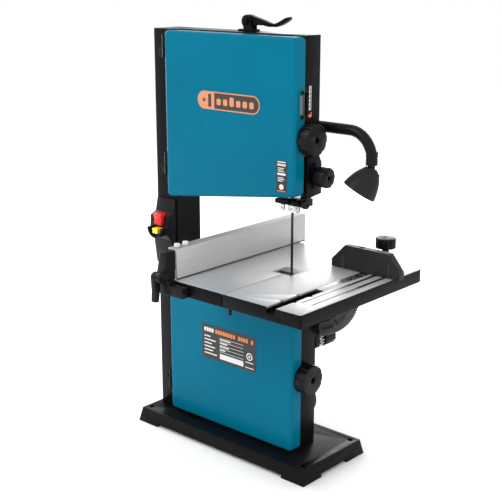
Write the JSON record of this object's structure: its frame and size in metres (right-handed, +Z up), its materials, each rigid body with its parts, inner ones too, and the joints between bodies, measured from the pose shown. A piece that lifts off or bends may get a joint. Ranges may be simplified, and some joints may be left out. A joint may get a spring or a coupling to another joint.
{
  "type": "benchtop band saw",
  "caption": "Benchtop vertical band saw with C-shaped frame, enclosed upper and lower wheels, hinged covers, tilting slotted table, rip fence, mitre gauge, blade tension lever and work lamp.",
  "frame": {"origin": "centre of the base's underside, on the bench", "axes": "+X to the machine's right, from the column to the free side of the throat; +Y to the back, so the doors face -Y; +Z up"},
  "size_m": [0.442, 0.3455, 0.6999],
  "materials": {
    "black_steel": "semi gloss powder coat",
    "teal_steel": "gloss enamel",
    "bright_steel": "machined",
    "blade_steel": "oiled",
    "aluminium": "satin",
    "black_plastic": "fine texture",
    "grey_cast": "cast",
    "rubber": "matt",
    "red_plastic": "gloss",
    "yellow_plastic": "gloss",
    "clear_plastic": "clear",
    "white_glass": "frosted",
    "white_plastic": "gloss"
  },
  "bodies": {
    "frame": {"base": "black_steel", "column": "black_steel", "upper_housing": "black_steel", "lower_housing": "black_steel", "hinge_leaves": "black_steel", "lower_axle": "bright_steel", "blade": "blade_steel", "drive_belt": "rubber", "motor": "black_steel", "dust_port": "black_plastic", "post_bracket": "black_steel", "trunnion_bracket": "black_steel", "lower_guide": "bright_steel", "tension_guide": "grey_cast", "lever_bracket": "black_steel", "lamp_neck": "black_plastic", "switch_box": "black_plastic"},
    "upper_door_leaf": {"upper_door": "teal_steel", "tracking_window": "clear_plastic"},
    "lower_door_leaf": {"lower_door": "teal_steel"},
    "upper_lock": {"upper_lock_knob": "black_plastic"},
    "lower_lock": {"lower_lock_knob": "black_plastic"},
    "lever": {"tension_lever": "black_steel"},
    "carriage": {"tension_carriage": "bright_steel", "tension_spring": "bright_steel"},
    "tracking": {"tracking_knob": "black_plastic"},
    "upper_band_wheel": {"upper_wheel": "aluminium", "upper_tyre": "rubber", "upper_bearings": "bright_steel"},
    "lower_band_wheel": {"lower_wheel": "aluminium", "lower_tyre": "rubber", "lower_bearings": "bright_steel", "driven_pulley": "grey_cast"},
    "motor_shaft": {"motor_pulley": "bright_steel"},
    "guide": {"guide_post": "bright_steel", "guide_carrier": "black_steel", "guide_block": "bright_steel", "thrust_bearing": "bright_steel"},
    "guide_adjuster": {"guide_adjust_knob": "black_plastic"},
    "guide_lock": {"guide_lock_knob": "black_plastic"},
    "table": {"table_top": "aluminium", "table_casting": "black_steel", "table_insert": "aluminium", "alignment_pin": "black_steel", "tilt_quadrant": "grey_cast"},
    "tilt_drive": {"tilt_pinion": "bright_steel", "tilt_knob": "black_plastic"},
    "tilt_lock": {"tilt_lock_knob": "black_plastic"},
    "fence": {"fence_rail": "aluminium", "fence_bracket": "black_plastic", "fence_bolts": "white_plastic"},
    "fence_clamp": {"fence_lever": "black_plastic"},
    "mitre_slide": {"mitre_bar": "bright_steel"},
    "mitre_swivel": {"mitre_head": "black_plastic", "mitre_protractor": "clear_plastic"},
    "mitre_clamp": {"mitre_knob": "black_plastic"},
    "switch_rocker": {"red_switch": "red_plastic"},
    "switch_key": {"yellow_key": "yellow_plastic"},
    "lamp_head": {"lamp_shade": "black_plastic", "lamp_lens": "white_glass"}
  },
  "joints": [
    {"name": "upper_door_swing", "type": "hinge", "parent": "frame", "child": "upper_door_leaf", "pos_m": [-0.1445, -0.038, 0.54], "axis": [0, 0, -1], "range_deg": [0, 140]},
    {"name": "lower_door_swing", "type": "hinge", "parent": "frame", "child": "lower_door_leaf", "pos_m": [-0.1445, -0.038, 0.15], "axis": [0, 0, -1], "range_deg": [0, 140]},
    {"name": "upper_lock_turn", "type": "hinge", "parent": "frame", "child": "upper_lock", "pos_m": [0.131, -0.014, 0.525], "axis": [1, 0, 0], "range_deg": [-180, 180]},
    {"name": "lower_lock_turn", "type": "hinge", "parent": "frame", "child": "lower_lock", "pos_m": [0.131, -0.014, 0.146], "axis": [1, 0, 0], "range_deg": [-180, 180]},
    {"name": "tension_lever_turn", "type": "hinge", "parent": "frame", "child": "lever", "pos_m": [-0.005, 0.01, 0.69], "axis": [0, -1, 0], "range_deg": [0, 100]},
    {"name": "tension_slide", "type": "slide", "parent": "frame", "child": "carriage", "axis": [0, 0, 1], "range_m": [-0.002, 0], "deforming": ["tension_spring"]},
    {"name": "tracking_turn", "type": "hinge", "parent": "carriage", "child": "tracking", "pos_m": [-0.0097, 0.026, 0.525], "axis": [0, 1, 0], "range_deg": [-180, 180]},
    {"name": "upper_wheel_spin", "type": "hinge", "parent": "carriage", "child": "upper_band_wheel", "pos_m": [-0.0097, -0.0209, 0.548], "axis": [0, 1, 0], "continuous": true},
    {"name": "lower_wheel_spin", "type": "hinge", "parent": "frame", "child": "lower_band_wheel", "pos_m": [-0.0097, -0.0209, 0.153], "axis": [0, 1, 0], "continuous": true},
    {"name": "motor_spin", "type": "hinge", "parent": "frame", "child": "motor_shaft", "pos_m": [-0.085, 0, 0.075], "axis": [0, 1, 0], "continuous": true},
    {"name": "guide_slide", "type": "slide", "parent": "frame", "child": "guide", "axis": [0, 0, 1], "range_m": [-0.085, 0]},
    {"name": "guide_adjust_turn", "type": "hinge", "parent": "guide", "child": "guide_adjuster", "pos_m": [0.1305, -0.02, 0.42675], "axis": [1, 0, 0], "range_deg": [-180, 180]},
    {"name": "guide_lock_turn", "type": "hinge", "parent": "frame", "child": "guide_lock", "pos_m": [0.141, 0.004, 0.467], "axis": [1, 0, 0], "range_deg": [-180, 180]},
    {"name": "table_tilt", "type": "hinge", "parent": "frame", "child": "table", "pos_m": [0.10985, 0.034, 0.2912], "axis": [0, 1, 0], "range_deg": [0, 45]},
    {"name": "tilt_knob_turn", "type": "hinge", "parent": "frame", "child": "tilt_drive", "pos_m": [0.12012, 0.034, 0.19349], "axis": [0, 1, 0], "range_deg": [-410, 0]},
    {"name": "tilt_lock_turn", "type": "hinge", "parent": "frame", "child": "tilt_lock", "pos_m": [0.11853, 0.045, 0.24196], "axis": [0, 1, 0], "range_deg": [-180, 180]},
    {"name": "fence_slide", "type": "slide", "parent": "table", "child": "fence", "axis": [1, 0, 0], "range_m": [-0.02, 0.03]},
    {"name": "fence_lever_turn", "type": "hinge", "parent": "fence", "child": "fence_clamp", "pos_m": [-0.0124, -0.1905, 0.323], "axis": [1, 0, 0], "range_deg": [-70, 0]},
    {"name": "mitre_slide_y", "type": "slide", "parent": "table", "child": "mitre_slide", "axis": [0, 1, 0], "range_m": [-0.15, 0.06]},
    {"name": "mitre_swivel_z", "type": "hinge", "parent": "mitre_slide", "child": "mitre_swivel", "pos_m": [0.1925, 0.062, 0.3148], "axis": [0, 0, 1], "range_deg": [-60, 60]},
    {"name": "mitre_knob_turn", "type": "hinge", "parent": "mitre_slide", "child": "mitre_clamp", "pos_m": [0.1925, 0.111, 0.336], "axis": [0, 0, 1], "range_deg": [-180, 180]},
    {"name": "switch_rock", "type": "hinge", "parent": "frame", "child": "switch_rocker", "pos_m": [-0.145, -0.05, 0.366], "axis": [1, 0, 0], "range_deg": [0, 8]},
    {"name": "key_pull", "type": "slide", "parent": "frame", "child": "switch_key", "axis": [0, -1, 0], "range_m": [0, 0.02]},
    {"name": "lamp_aim", "type": "hinge", "parent": "frame", "child": "lamp_head", "pos_m": [0.2145, 0.034, 0.478], "axis": [-0.6691, 0.7431, 0], "range_deg": [-25, 2]}
  ],
  "couplings": [
    {"joint": "tension_lever_turn", "follows": "tension_slide", "rad_per_m": -872.66},
    {"joint": "upper_wheel_spin", "follows": "lower_wheel_spin", "ratio": 1},
    {"joint": "motor_spin", "follows": "lower_wheel_spin", "ratio": 3.3333},
    {"joint": "tilt_knob_turn", "follows": "table_tilt", "ratio": -9.0769}
  ]
}
